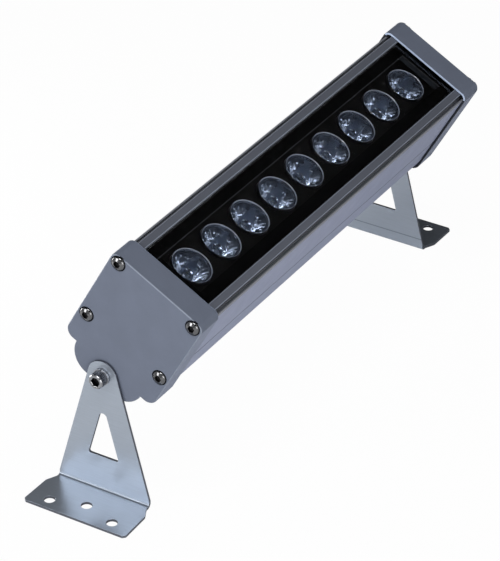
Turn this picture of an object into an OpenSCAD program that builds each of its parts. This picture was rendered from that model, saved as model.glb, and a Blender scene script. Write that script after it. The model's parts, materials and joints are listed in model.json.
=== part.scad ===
// Outdoor LED wall washer: an aluminium extrusion with two cast end caps, nine lenses behind one
// glass, and two bent sheet brackets that it tilts on.
// Millimetres. +X runs along the light, +Z is up, and the lit face leans towards -Y.
// The origin is the centre of the four outer fixing holes, on the underside of the feet.

/* [Light] */
// Distance from one lens centre to the next
lens_pitch = 28; // [25:0.5:40]
// Last lens centre to the outer face of the end cap
end_margin = 35.5; // [32:0.5:60]
// Angle that the lit face leans forwards from straight up
tilt = 28.3; // [0:0.1:60]

/* [End caps] */
// Width of an end cap
cap_w = 59; // [56:0.5:80]
// Pivot axis to the front face of the cap
cap_front = 68.8; // [66:0.2:90]
// Pivot axis to the back edge of the cap's two heels
cap_heel = 4.7; // [3.5:0.1:6]
// Radius of the two front corners
cap_corner_r = 4; // [2:0.5:6]
// Radius of the two heels
cap_heel_r = 5.5; // [3:0.5:8]
// Width of the round lobe behind the pivot
lobe_w = 43; // [41:0.5:48]
// Pivot axis to the back of the lobe
lobe_back = 7.8; // [7.7:0.1:9]
// Radius of the lobe's two corners
lobe_r = 12.9; // [9:0.1:14]
// Depth of the cap along the light
cap_depth = 16; // [13:0.5:24]
// Thickness of the cap's end wall
cap_plate = 3; // [2.5:0.1:4.5]
// Thickness of the rim that laps over the housing
cap_rim = 1.2; // [1:0.1:2]
// Thickness of the flat gasket inside the cap
gasket_t = 1.6; // [1:0.1:2.5]

/* [Housing] */
// Thickness of the side walls
wall = 2; // [1.8:0.1:2.8]
// Thickness of the back wall
floor_t = 2.2; // [1.6:0.1:4]
// Thickness of the shelf that carries the emitter board
shelf_t = 3; // [2:0.1:5]
// Width of each front lip beside the glass
lip_w = 4.55; // [4.2:0.05:5.5]
// Height of the lips above the tops of the side walls
lip_step = 2.6; // [1.8:0.1:3.2]
// Width of the groove outside each lip
groove_w = 1.7; // [1:0.1:2]
// Depth of the groove below the top of the side wall
groove_depth = 2; // [1:0.1:3]
// Thickness of the side wall outside the groove
groove_edge = 1.1; // [0.9:0.1:1.6]
// Pivot axis to the crease along each side
crease_at = 29.5; // [26:0.5:36]
// Radius of the housing's two back corners
back_corner_r = 5; // [3:0.5:6]
// Thickness of a cooling fin
fin_t = 1.6; // [1.2:0.1:2]
// Distance from one cooling fin to the next
fin_pitch = 3.5; // [3:0.1:3.8]

/* [Glass and lenses] */
// Thickness of the front glass
glass_t = 4; // [3:0.5:5]
// Top of the lips down to the top of the glass
glass_drop = 0.8; // [0.4:0.1:1.5]
// Thickness of the soft bed under the edges of the glass
glass_bed_t = 0.8; // [0.5:0.1:1.2]
// Radius of a lens holder's rim
holder_r = 11.25; // [10.5:0.05:12]
// Height of a lens holder
holder_h = 14.8; // [13:0.1:18]
// Thickness of a lens holder's wall at its rim
holder_wall = 0.55; // [0.4:0.05:1]
// Thickness of the black plate round the lenses
plate_t = 1.5; // [1:0.1:2]
// Thickness of the emitter board
board_t = 1.6; // [1:0.1:2.5]
// Width of the emitter board
board_w = 40; // [38:0.5:46]

/* [Brackets] */
// Pivot axis above the underside of the feet
pivot_h = 71.4; // [60:0.2:110]
// Thickness of the bracket sheet
sheet_t = 1.5; // [1.2:0.1:3]
// Inside radius of the bend
bend_r = 1.5; // [1:0.1:3]
// Radius of the round top of the leg
leg_top_r = 8.6; // [7.5:0.1:10]
// Width of the leg at the bend
leg_foot_w = 55.4; // [50:0.2:60]
// Length of the foot, out from the inner face of the leg
foot_len = 30; // [24:0.5:45]
// Width of the foot at its outer edge
foot_w = 61.6; // [58:0.2:80]
// Diameter of the fixing holes
fix_d = 6; // [4:0.1:7]
// Distance between the two outer fixing holes of a foot
fix_spread = 38; // [32:0.5:44]
// Pivot axis down to the top of the leg's triangular window
window_drop = 22.7; // [18:0.2:30]
// Underside of the foot to the base of the window
window_base = 21.8; // [16:0.2:28]
// Outer edge of the foot to its outer fixing holes
fix_edge = 6.7; // [5:0.1:9]
// Outer edge of the foot to its middle fixing hole
fix_mid_edge = 12.3; // [9:0.1:16]

/* [Pivot and screws] */
// Diameter of the pivot bolts
bolt_d = 5; // [4:0.1:5.6]
// Diameter of the pivot bolt's head
bolt_head_d = 8.5; // [7.8:0.1:10]
// Height of the pivot bolt's head
bolt_head_h = 5; // [3:0.1:6]
// Thickness of the lock washer
lock_t = 1.2; // [0.8:0.1:1.6]
// Diameter of the cap screws
screw_d = 3.5; // [3:0.1:3.5]
// Diameter of the cap screws' heads
screw_head_d = 7.6; // [6:0.1:8]
// Height of the cap screws' heads
screw_head_h = 2.4; // [2:0.1:3]

/* [Cable gland] */
// Diameter of the gland's thread
gland_d = 12; // [11:0.5:14]
// Size of the gland's hexagons across their flats
gland_flats = 15; // [14.5:0.5:17]
// Diameter of the cable hole
cable_d = 6.5; // [5:0.1:7]

/* [Hidden] */
$fn = 96;

// Ends of the light
near = -1;
far = 1;

// Number of lenses in the row
lens_count = 9;

// Overrun of a cut past the face that it opens
cut = 1;
// Clearances
rim_gap = 0.15;
front_gap = 0.4;
heel_gap = 1.7;
boss_gap = 1.2;
screw_gap = 0.05;
pass_gap = 0.35;
slot_gap = 0.05;
glass_gap = 0.3;
lens_drop = 1.2;
running_gap = 0.075;
pivot_gap = 0.3;

// Places along X, from the middle of the light outwards
lens_reach = (lens_count - 1) * lens_pitch / 2;
cap_face = lens_reach + end_margin;
plate_inner = cap_face - cap_plate;
housing_end = plate_inner - gasket_t;
rim_end = cap_face - cap_depth;

// Section of the housing, up from the pivot axis and out from the middle
body_half = cap_w / 2 - cap_rim - rim_gap;
body_back = cap_heel + cap_rim + heel_gap;
lip_top = cap_front - cap_rim - front_gap;
side_top = lip_top - lip_step;
groove_out = body_half - groove_edge;
lip_out = groove_out - groove_w;
lip_in = lip_out - lip_w;
inner_half = body_half - wall;
room_corner_r = back_corner_r - wall;
glass_top = lip_top - glass_drop;
glass_low = glass_top - glass_t;
ledge_top = glass_low - glass_bed_t;
ledge_t = 1.6;
ledge_reach = 4.3;
ledge_low = ledge_top - ledge_t;
lens_face = glass_low - lens_drop;
rim_proud = 0.2;
board_top = lens_face + rim_proud - holder_h;
shelf_top = board_top - board_t;
shelf_low = shelf_top - shelf_t;
floor_top = body_back + floor_t;

// Screw ports of the housing and the screws in them
port_top_wall = 0.75;
port_out_share = 0.25;
port_r = screw_d / 2 + screw_gap;
port_front = lip_top - port_top_wall - port_r;
port_side = lip_out - lip_w * port_out_share;
port_back = 24.1;
port_boss_r = 3.7;
screw_len = 14;
head_recess = 0.8;
head_gap = 0.5;

// Crease along each side
crease_half = 0.6;
crease_depth = 0.35;

// Ribs that hold a board or plate by its edges
rib_t = 1.2;
rib_reach = 1.8;
edge_gap = 0.25;

// Pivot boss of an end cap
boss_r = body_back - boss_gap;
boss_len = 10;
boss_floor = 1.5;
boss_hole_end = plate_inner - boss_len + boss_floor;
bolt_hole_r = bolt_d / 2 + screw_gap;
bolt_end = boss_hole_end + pass_gap;

// Fins behind the housing
fins_each_side = 3;
fin_clear = 2.8;
fin_gap = 0.6;
lobe_mid = lobe_w / 2 - lobe_r;
lobe_rise = lobe_r - lobe_back;
fin_sweep_r = lobe_r - cap_rim - fin_gap;
fin_first = boss_r + fin_clear + fin_t / 2;

// Places of a bracket
leg_inner = cap_face + pivot_gap;
leg_outer = leg_inner + sheet_t;
bend_out = bend_r + sheet_t;
leg_reach = pivot_h - bend_out;
bend_margin = 1;
bend_end = bend_out + bend_margin;
leg_diag = norm([leg_foot_w / 2, leg_reach]);
leg_angle = atan2(leg_foot_w / 2, leg_reach) - asin(leg_top_r / leg_diag);
foot_flare = 6;
foot_neck_share = 0.985;
foot_corner_r = 1.5;
window_top_r = 2.4;
window_corner_r = 1;
blend_slack = 0.02;
window_top = pivot_h - window_drop - window_top_r;
pivot_bore_r = bolt_d / 2 + running_gap;

// Places of the pivot hardware
washer_inner = leg_outer + pivot_gap;
head_inner = washer_inner + lock_t;
lock_out_r = 4.6;
lock_in_gap = 0.1;
lock_split = 0.6;
hex_share = 0.47;
hex_depth_share = 0.55;
head_chamfer = 0.5;

// Cable gland
gland_at = 28;
gland_flange_t = 5;
gland_neck = 4;
gland_wall = 2.2;
gland_seal_t = 1.2;
gland_nut_t = 9;
gland_lock_t = 2.5;
gland_thread_in = 3.6;
seal_len = 7;
seal_wall = 1.6;
dome_share = 0.42;

// Takes a child from the light's own frame, with its pivot axis on X, to its place on the brackets
module on_light() {
    translate([0, 0, pivot_h]) rotate([tilt, 0, 0]) children();
}

// Puts a child that is drawn for the far end at either end
module at_end(side) {
    mirror([side < 0 ? 1 : 0, 0, 0]) children();
}

// Extrudes an outline, drawn across and up, along the light from one place to another
module along(from, to) {
    translate([from, 0, 0]) rotate([90, 0, 90]) linear_extrude(to - from) children();
}

// A rod along +X from one place to another
module rod(from, to, r) {
    translate([from, 0, 0]) rotate([0, 90, 0]) cylinder(h = to - from, r = r);
}

// Outline with straight sides, round back corners and round front corners
module rounded_slab(half, low, high, r_low, r_high) {
    middle = (low + high) / 2;
    translate([-half, low + r_low]) square([2 * half, high - r_high - low - r_low]);
    translate([-half + r_low, low]) square([2 * (half - r_low), middle - low]);
    translate([-half + r_high, middle]) square([2 * (half - r_high), high - middle]);
    for (side = [-1, 1]) {
        translate([side * (half - r_low), low + r_low]) circle(r_low);
        translate([side * (half - r_high), high - r_high]) circle(r_high);
    }
}

// Outline of the end cap, drawn in by an inset
module cap_outline(inset) {
    rounded_slab(cap_w / 2 - inset, cap_heel + inset, cap_front - inset,
        cap_heel_r - inset, cap_corner_r - inset);
    translate([-lobe_w / 2 + inset, lobe_rise]) square([lobe_w - 2 * inset, cap_heel_r + cap_heel]);
    translate([-lobe_mid, -lobe_back + inset]) square([2 * lobe_mid, lobe_r]);
    for (side = [-1, 1])
        translate([side * lobe_mid, lobe_rise]) circle(lobe_r - inset);
}

// The four places of an end cap's screws
module at_cap_screws() {
    for (side = [-1, 1]) {
        translate([0, side * port_side, port_front]) children();
        translate([0, side * port_side, port_back]) children();
    }
}

module end_cap() {
    difference() {
        union() {
            difference() {
                along(rim_end, cap_face) cap_outline(0);
                along(rim_end - cut, plate_inner) cap_outline(cap_rim);
            }
            rod(plate_inner - boss_len, plate_inner + cap_plate / 2, boss_r);
        }
        rod(boss_hole_end, cap_face + cut, bolt_hole_r);
        at_cap_screws() {
            rod(plate_inner - cut, cap_face + cut, screw_d / 2 + pass_gap);
            rod(cap_face - head_recess, cap_face + cut, screw_head_d / 2 + head_gap);
        }
    }
}

module near_end_cap() {
    color("#747B8B") on_light() at_end(near) end_cap();
}

module far_end_cap() {
    color("#747B8B") on_light() difference() {
        end_cap();
        translate([0, 0, gland_at]) rod(plate_inner - cut, cap_face + cut, gland_d / 2 + screw_gap);
    }
}

// Outline of the housing without its fins
module housing_outline() {
    difference() {
        union() {
            rounded_slab(body_half, body_back, side_top, back_corner_r, groove_edge / 2);
            for (side = [-1, 1])
                translate([side * (lip_in + lip_w / 2) - lip_w / 2, ledge_low])
                    square([lip_w, lip_top - ledge_low]);
        }
        for (side = [-1, 1]) {
            translate([side * (lip_out + groove_w / 2) - groove_w / 2, side_top - groove_depth])
                square([groove_w, groove_depth + cut]);
            translate([side * body_half, crease_at])
                polygon([[crease_depth, 0], [0, crease_half], [-crease_depth, 0], [0, -crease_half]]);
        }
    }
}

// Room behind the glass, and room for the driver below the shelf
module housing_rooms() {
    translate([-lip_in, ledge_top]) square([2 * lip_in, lip_top - ledge_top + cut]);
    translate([-lip_in + ledge_reach, ledge_low - cut])
        square([2 * (lip_in - ledge_reach), ledge_t + 2 * cut]);
    translate([-inner_half, shelf_top]) square([2 * inner_half, ledge_low - shelf_top]);
    rounded_slab(inner_half, floor_top, shelf_low, room_corner_r, room_corner_r);
}

// Two pairs of ribs, one pair above the other, that hold a flat piece between them by its edges
module edge_ribs(low, high) {
    for (side = [-1, 1], level = [low - rib_t, high])
        translate([side * (inner_half - rib_reach / 2) - rib_reach / 2, level])
            square([rib_reach, rib_t]);
}

plate_top = ledge_low - slot_gap;
plate_low = plate_top - plate_t;
driver_rise = 4.3;
driver_low = floor_top + driver_rise;
driver_t = 1.6;
driver_top = driver_low + driver_t;

module housing_section() {
    difference() {
        union() {
            difference() {
                housing_outline();
                housing_rooms();
            }
            for (side = [-1, 1]) {
                intersection() {
                    translate([side * port_side, port_back]) circle(port_boss_r);
                    translate([side * body_half / 2 - body_half / 2, 0]) square([body_half, cap_front]);
                }
                translate([side * (inner_half - rib_reach / 2) - rib_reach / 2,
                    plate_low - slot_gap - rib_t]) square([rib_reach, rib_t]);
            }
            edge_ribs(driver_low - slot_gap, driver_top + slot_gap);
            fins();
        }
        for (side = [-1, 1], level = [port_front, port_back])
            translate([side * port_side, level]) circle(port_r);
    }
}

// Depth of the lobe's own curve at a place across the housing
function fin_tip(across) = lobe_rise - sqrt(pow(fin_sweep_r, 2) - pow(max(0, across - lobe_mid), 2));

module fins() {
    for (side = [-1, 1], i = [0 : fins_each_side - 1]) {
        place = fin_first + i * fin_pitch;
        tip = fin_tip(place + fin_t / 2);
        translate([side * place - fin_t / 2, tip]) square([fin_t, body_back + floor_t / 2 - tip]);
    }
}

module housing_extrusion() {
    color("#8A8FA3") on_light() difference() {
        along(-housing_end, housing_end) housing_section();
        at_leads() translate([0, 0, shelf_low - cut]) cylinder(h = shelf_t + 2 * cut, r = lead_hole_r);
        at_board_screws() translate([0, 0, shelf_low - cut])
            cylinder(h = shelf_t + 2 * cut, r = board_screw_d / 2 + screw_gap);
    }
}

// Flat gasket between the housing's end and the end wall of the cap
gasket_window_half = 18.5;
gasket_window_low = floor_top + gasket_t;

module cap_gasket() {
    difference() {
        along(housing_end, plate_inner) difference() {
            rounded_slab(body_half, body_back, lip_top, back_corner_r, cap_corner_r - cap_rim);
            translate([-gasket_window_half, gasket_window_low])
                square([2 * gasket_window_half, shelf_low - gasket_window_low]);
        }
        at_cap_screws() rod(housing_end - cut, plate_inner + cut, screw_d / 2 + pass_gap);
    }
}

module near_cap_gasket() {
    color("#2B2D30") on_light() at_end(near) cap_gasket();
}

module far_cap_gasket() {
    color("#2B2D30") on_light() at_end(far) cap_gasket();
}

// Button head with a hexagon socket, its seat at zero and its shank towards -X
module button_screw(shank_r, shank_len, head_r, head_h) {
    crown = head_h / 2;
    difference() {
        union() {
            rod(-shank_len, head_h / 4, shank_r);
            rod(0, head_h - crown, head_r);
            translate([head_h - crown, 0, 0]) rotate([0, 90, 0])
                cylinder(h = crown, r1 = head_r, r2 = head_r * crown_share);
        }
        translate([head_h * (1 - hex_depth_share), 0, 0]) rotate([0, 90, 0])
            cylinder(h = head_h, r = head_r * button_hex_share, $fn = 6);
    }
}
crown_share = 0.62;
button_hex_share = 0.38;

module cap_screws() {
    at_cap_screws() translate([cap_face - head_recess, 0, 0])
        button_screw(screw_d / 2, screw_len, screw_head_d / 2, screw_head_h);
}

module near_cap_screws() {
    color("#C9CCD2") on_light() at_end(near) cap_screws();
}

module far_cap_screws() {
    color("#C9CCD2") on_light() at_end(far) cap_screws();
}

module front_glass() {
    color("#20242A", 0.5) on_light() along(-housing_end, housing_end)
        translate([-lip_in + glass_gap, glass_low]) square([2 * (lip_in - glass_gap), glass_t]);
}

// Soft strip under the edges of the glass, closed across both ends
bed_w = 3.6;
module glass_gasket() {
    color("#17181A") on_light() difference() {
        along(-housing_end, housing_end)
            translate([-lip_in + glass_gap, ledge_top]) square([2 * (lip_in - glass_gap), glass_bed_t]);
        translate([-housing_end + bed_w, -lip_in + glass_gap + bed_w, ledge_top - cut])
            cube([2 * (housing_end - bed_w), 2 * (lip_in - glass_gap - bed_w), glass_bed_t + 2 * cut]);
    }
}

// Places of the lenses along the light, counted from the near end
function lens_x(i) = (i - (lens_count + 1) / 2) * lens_pitch;

plate_hole_gap = 0.25;
module lens_plate() {
    color("#101214") on_light() difference() {
        translate([-housing_end, -inner_half + edge_gap, plate_low])
            cube([2 * housing_end, 2 * (inner_half - edge_gap), plate_t]);
        for (i = [1 : lens_count])
            translate([lens_x(i), 0, plate_low - cut])
                cylinder(h = plate_t + 2 * cut, r = holder_r + plate_hole_gap);
    }
}

// Lens holder: a cup on the board with a ledge under the lens's flange
flange_low_share = 0.85;
flange_seat_share = 0.78;
ledge_in_share = 0.9;
holder_in = holder_r - holder_wall;
flange_low = holder_h * flange_low_share;
module lens_holder(i) {
    color("#1A1C20") on_light() translate([lens_x(i), 0, board_top]) rotate_extrude()
        polygon([[holder_in - holder_wall, 0], [holder_r, 0], [holder_r, holder_h], [holder_in, holder_h],
            [holder_in, flange_low], [holder_r * ledge_in_share, flange_low],
            [holder_r * ledge_in_share, holder_h * flange_seat_share],
            [holder_in - holder_wall, holder_h * flange_seat_share]]);
}

// Lens: a clear cone that widens to a flange and a flat face, hollow over its emitter
lens_gap = 0.1;
lens_start = 1.3;
lens_foot_r_share = 0.42;
lens_neck_r_share = 0.88;
lens_cup_r = 2.6;
lens_cup_h_share = 0.36;
lens_r = holder_in - lens_gap;
lens_h = holder_h - rim_proud;
module lens(i) {
    color("#DDE6EE", 0.45) on_light() translate([lens_x(i), 0, board_top]) rotate_extrude()
        polygon([[0, lens_h * lens_cup_h_share], [lens_cup_r / 2, lens_h * lens_cup_h_share],
            [lens_cup_r, lens_start], [lens_r * lens_foot_r_share, lens_start],
            [lens_r * lens_neck_r_share, flange_low], [lens_r, flange_low], [lens_r, lens_h], [0, lens_h]]);
}

// Emitter: a square base with a clear dome
emitter_w = 3.4;
emitter_t = 0.9;
emitter_dome_r = 1.3;
module emitter(i) {
    color("#E9D66B") on_light() translate([lens_x(i), 0, board_top]) {
        translate([-emitter_w / 2, -emitter_w / 2, 0]) cube([emitter_w, emitter_w, emitter_t]);
        translate([0, 0, emitter_t]) intersection() {
            sphere(emitter_dome_r);
            translate([-emitter_w / 2, -emitter_w / 2, -emitter_t / 2])
                cube([emitter_w, emitter_w, emitter_w]);
        }
    }
}

// Emitter board, its screws and the two leads that feed it
board_end_margin = 16;
board_screw_d = 3;
board_screw_head_r = 2.8;
board_screw_head_h = 2;
board_screw_len = 5.5;
board_screw_edge = 4.5;
board_screw_side = board_w / 2 - board_screw_edge;
board_screw_pitch_shares = [-3.5, -1.5, 1.5, 3.5];
lead_r = 0.8;
lead_bend_r = 3;
lead_hole_r = 1.6;
lead_x = -lens_pitch / 2;
lead_side = 10;
lead_stub = 0.7;
solder_r = 1.5;
solder_h = 0.4;

module at_board_screws() {
    for (step = board_screw_pitch_shares, side = [-1, 1])
        translate([step * lens_pitch, side * board_screw_side, 0]) children();
}

module at_leads() {
    for (side = [-1, 1])
        translate([lead_x, lead_side + side * terminal_w / 4, 0]) children();
}

module emitter_board() {
    half = lens_reach + board_end_margin;
    color("#F2F3F0") on_light() difference() {
        translate([-half, -board_w / 2, shelf_top]) cube([2 * half, board_w, board_t]);
        at_board_screws() translate([0, 0, shelf_top - cut])
            cylinder(h = board_t + 2 * cut, r = board_screw_d / 2 + screw_gap);
        at_leads() translate([0, 0, shelf_top - cut])
            cylinder(h = board_t + 2 * cut, r = lead_r + screw_gap);
    }
}

module emitter_board_screws() {
    color("#C9CCD2") on_light() at_board_screws() translate([0, 0, board_top]) rotate([0, -90, 0])
        button_screw(board_screw_d / 2, board_screw_len, board_screw_head_r, board_screw_head_h);
}

// Driver: a board held between ribs, with its main components
driver_len = 110;
driver_end_gap = 22;
driver_w = 2 * (inner_half - edge_gap);
driver_x = housing_end - driver_end_gap - driver_len / 2;
terminal_l = 8;
terminal_w = 12;
terminal_h = 9;
terminal_low = driver_x - driver_len / 2;
module driver_board() {
    color("#2F6B3C") on_light() translate([terminal_low, -driver_w / 2, driver_low])
        cube([driver_len, driver_w, driver_t]);
}

// A terminal block with two wire holes and two screw wells
wire_hole_share = 0.45;
module terminal_block() {
    difference() {
        translate([0, -terminal_w / 2, 0]) cube([terminal_l, terminal_w, terminal_h]);
        for (side = [-1, 1]) {
            translate([-cut, side * terminal_w / 4, terminal_h * wire_hole_share])
                rotate([0, 90, 0]) cylinder(h = terminal_l / 2 + cut, r = lead_r + screw_gap);
            translate([terminal_l / 2, side * terminal_w / 4, terminal_h * (1 - wire_hole_share / 2)])
                cylinder(h = terminal_h, r = terminal_w / 6);
        }
    }
}

module driver_output_terminal() {
    color("#3C7D4A") on_light() translate([terminal_low, lead_side, driver_top])
        terminal_block();
}

module driver_input_terminal() {
    color("#3C7D4A") on_light() translate([terminal_low + driver_len, 0, driver_top])
        mirror([1, 0, 0]) terminal_block();
}

transformer_l = 22;
transformer_w = 24;
transformer_h = 20;
transformer_coil_share = 0.66;
module driver_transformer() {
    color("#3A3B3F") on_light() translate([driver_x - transformer_l / 2, -transformer_w / 2, driver_top]) {
        cube([transformer_l, transformer_w, transformer_h * (1 - transformer_coil_share) / 2]);
        translate([transformer_l / 2, transformer_w / 2, 0])
            cylinder(h = transformer_h, r = transformer_l * transformer_coil_share / 2);
        translate([0, 0, transformer_h * (1 + transformer_coil_share) / 2])
            cube([transformer_l, transformer_w, transformer_h * (1 - transformer_coil_share) / 2]);
        for (side = [0, 1])
            translate([0, side * (transformer_w * (1 - wire_hole_share / 4)), 0])
                cube([transformer_l, transformer_w * wire_hole_share / 4, transformer_h]);
    }
}

capacitor_r = 6;
capacitor_h = 18;
capacitor_x = 24;
module driver_capacitor() {
    color("#25324A") on_light() translate([driver_x + capacitor_x, 0, driver_top])
        cylinder(h = capacitor_h, r = capacitor_r);
}

coil_r = 4.6;
coil_wire_r = 2.2;
module driver_coil() {
    color("#B0703A") on_light() translate([driver_x - capacitor_x, 0, driver_top + coil_wire_r])
        rotate_extrude() translate([coil_r, 0]) circle(coil_wire_r);
}

// Two leads from the output terminal, along the driver room, then up through the shelf to the board
lead_level = driver_top + terminal_h * wire_hole_share;
module emitter_leads() {
    color("#B03030") on_light() at_leads() {
        translate([lead_bend_r, 0, lead_level])
            rod(0, terminal_low + terminal_l / 4 - lead_x - lead_bend_r, lead_r);
        translate([lead_bend_r, 0, lead_level + lead_bend_r]) rotate([90, 180, 0])
            rotate_extrude(angle = 90) translate([lead_bend_r, 0]) circle(lead_r);
        translate([0, 0, lead_level + lead_bend_r])
            cylinder(h = board_top + lead_stub - lead_level - lead_bend_r, r = lead_r);
        translate([0, 0, board_top]) cylinder(h = solder_h, r = solder_r);
    }
}

// Cable gland on the outer face of the far cap
gland_hex_r = gland_flats / 2 / cos(30);
gland_bore_r = gland_d / 2 - gland_wall;
flange_inner = cap_face + gland_seal_t;
flange_outer = flange_inner + gland_flange_t;
nut_inner = flange_outer + pass_gap;
nut_outer = nut_inner + gland_nut_t;
neck_r = gland_d / 2 - screw_gap;
dome_end_r = gland_bore_r + gland_wall / 2;

module at_gland() {
    on_light() translate([0, 0, gland_at]) children();
}

module gland_body() {
    color("#C7CAD0") at_gland() difference() {
        union() {
            rod(plate_inner - gland_thread_in, flange_inner + cut, gland_d / 2);
            translate([flange_inner, 0, 0]) rotate([0, 90, 0])
                cylinder(h = gland_flange_t, r = gland_hex_r, $fn = 6);
            rod(flange_outer - cut, flange_outer + gland_neck, neck_r);
        }
        rod(plate_inner - gland_thread_in - cut, flange_outer + gland_neck + cut, gland_bore_r);
    }
}

module gland_face_seal() {
    color("#17181A") at_gland() difference() {
        rod(cap_face, flange_inner, gland_flats / 2 - pass_gap);
        rod(cap_face - cut, flange_inner + cut, gland_d / 2 + screw_gap);
    }
}

module gland_cable_seal() {
    color("#17181A") at_gland() difference() {
        rod(flange_outer + gland_neck - seal_len, flange_outer + gland_neck + seal_wall,
            gland_bore_r - screw_gap);
        rod(flange_outer + gland_neck - seal_len - cut, flange_outer + gland_neck + seal_wall + cut,
            cable_d / 2);
    }
}

module gland_nut() {
    color("#C7CAD0") at_gland() difference() {
        union() {
            translate([nut_inner, 0, 0]) rotate([0, 90, 0])
                cylinder(h = gland_nut_t * (1 - dome_share), r = gland_hex_r, $fn = 6);
            translate([nut_outer - gland_nut_t * dome_share, 0, 0]) rotate([0, 90, 0])
                cylinder(h = gland_nut_t * dome_share, r1 = gland_flats / 2, r2 = dome_end_r);
        }
        rod(nut_inner - cut, flange_outer + gland_neck + pass_gap, gland_d / 2 + screw_gap);
        rod(nut_inner - cut, flange_outer + gland_neck + seal_wall + pass_gap, gland_bore_r);
        rod(nut_inner, nut_outer + cut, cable_d / 2 + pass_gap);
    }
}

module gland_lock_nut() {
    color("#C7CAD0") at_gland() difference() {
        translate([plate_inner - gland_lock_t, 0, 0]) rotate([0, 90, 0])
            cylinder(h = gland_lock_t, r = gland_hex_r, $fn = 6);
        rod(plate_inner - gland_lock_t - cut, plate_inner + cut, gland_d / 2 + screw_gap);
    }
}

// Block with one round corner, at its origin
module corner_block(r, w, h) {
    translate([r, r]) circle(r);
    translate([0, r]) square([w, h - r]);
    translate([r, 0]) square([w - r, h]);
}

// Bracket seen from its side: the sheet goes down the leg, round the bend and out along the foot
module bracket_profile() {
    difference() {
        corner_block(bend_out, foot_len + cut, pivot_h + leg_top_r + cut);
        translate([sheet_t, sheet_t]) corner_block(bend_r, foot_len + cut, pivot_h + leg_top_r + cut);
    }
}

// Half the leg's width at a height above the foot's underside
function leg_half(height) = (leg_top_r - blend_slack) / cos(leg_angle)
    + (pivot_h - height) * tan(leg_angle);
bend_half = leg_half(bend_end);

// Leg seen along the light: straight sides that end a hair inside the round top
module leg_outline() {
    touch = pivot_h + (leg_top_r - blend_slack) * sin(leg_angle);
    touch_half = (leg_top_r - blend_slack) * cos(leg_angle);
    translate([0, pivot_h]) circle(leg_top_r);
    polygon([[-leg_half(0), 0], [leg_half(0), 0], [touch_half, touch], [-touch_half, touch]]);
}

// Foot and bend seen from above: straight across the bend, then a short flare to nearly straight sides
module foot_outline() {
    neck_half = foot_w / 2 * foot_neck_share;
    polygon([[-2 * cut, -bend_half], [bend_end, -bend_half], [bend_end + foot_flare, -neck_half],
        [foot_len - foot_corner_r, -foot_w / 2], [foot_len, -foot_w / 2 + foot_corner_r],
        [foot_len, foot_w / 2 - foot_corner_r], [foot_len - foot_corner_r, foot_w / 2],
        [bend_end + foot_flare, neck_half], [bend_end, bend_half], [-2 * cut, bend_half]]);
}

// What is trimmed off the sides of the leg, and off the sides of the bend and foot
module leg_waste() {
    difference() {
        translate([-foot_w, bend_end - bend_margin / 2]) square([2 * foot_w, pivot_h + leg_top_r]);
        leg_outline();
    }
}

module foot_waste() {
    difference() {
        translate([-cut, -foot_w]) square([foot_len + 3 * cut, 2 * foot_w]);
        foot_outline();
    }
}

// Triangular window of the leg, its sides parallel to the leg's sides and its corners round
module leg_window() {
    corner = window_base + window_corner_r;
    half = (window_top_r - window_corner_r) / cos(leg_angle) + (window_top - corner) * tan(leg_angle);
    corner_in = window_corner_r - blend_slack;
    top_in = window_top_r - blend_slack;
    for (side = [-1, 1]) {
        polygon([[0, corner - corner_in], [side * half, corner - corner_in],
            [side * (half + corner_in * cos(leg_angle)), corner + corner_in * sin(leg_angle)],
            [side * top_in * cos(leg_angle), window_top + top_in * sin(leg_angle)],
            [0, window_top]]);
        translate([side * half, corner]) circle(window_corner_r);
    }
    translate([0, window_top]) circle(window_top_r);
}

module bracket() {
    translate([leg_inner, 0, 0]) difference() {
        translate([0, foot_w / 2 + cut, 0]) rotate([90, 0, 0])
            linear_extrude(foot_w + 2 * cut) bracket_profile();
        along(-cut, sheet_t + cut) leg_waste();
        translate([0, 0, -cut]) linear_extrude(bend_end + 2 * cut) foot_waste();
        translate([0, 0, pivot_h]) rod(-cut, sheet_t + cut, pivot_bore_r);
        along(-cut, sheet_t + cut) leg_window();
        for (side = [-1, 1])
            translate([foot_len - fix_edge, side * fix_spread / 2, -cut])
                cylinder(h = sheet_t + 2 * cut, r = fix_d / 2);
        translate([foot_len - fix_mid_edge, 0, -cut]) cylinder(h = sheet_t + 2 * cut, r = fix_d / 2);
    }
}

module near_bracket() {
    color("#9AA6B8") at_end(near) bracket();
}

module far_bracket() {
    color("#9AA6B8") at_end(far) bracket();
}

// Pivot bolt: a cylindrical head with a hexagon socket, and a shank into the cap's boss
module pivot_bolt() {
    head_outer = head_inner + bolt_head_h;
    translate([0, 0, pivot_h]) difference() {
        union() {
            rod(bolt_end, head_inner + cut, bolt_d / 2);
            rod(head_inner, head_outer - head_chamfer, bolt_head_d / 2);
            translate([head_outer - head_chamfer, 0, 0]) rotate([0, 90, 0])
                cylinder(h = head_chamfer, r1 = bolt_head_d / 2, r2 = bolt_head_d / 2 - head_chamfer);
        }
        translate([head_outer - bolt_head_h * hex_depth_share, 0, 0]) rotate([0, 90, 0])
            cylinder(h = bolt_head_h, r = bolt_d * hex_share, $fn = 6);
    }
}

module near_pivot_bolt() {
    color("#B9BCC4") at_end(near) pivot_bolt();
}

module far_pivot_bolt() {
    color("#B9BCC4") at_end(far) pivot_bolt();
}

// Lock washer: a ring with a split
module lock_washer() {
    translate([0, 0, pivot_h]) difference() {
        rod(washer_inner, head_inner, lock_out_r);
        rod(washer_inner - cut, head_inner + cut, bolt_d / 2 + lock_in_gap);
        translate([washer_inner - cut, -lock_split / 2, 0])
            cube([lock_t + 2 * cut, lock_split, lock_out_r + cut]);
    }
}

module near_lock_washer() {
    color("#8C8F96") at_end(near) lock_washer();
}

module far_lock_washer() {
    color("#8C8F96") at_end(far) lock_washer();
}

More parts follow.
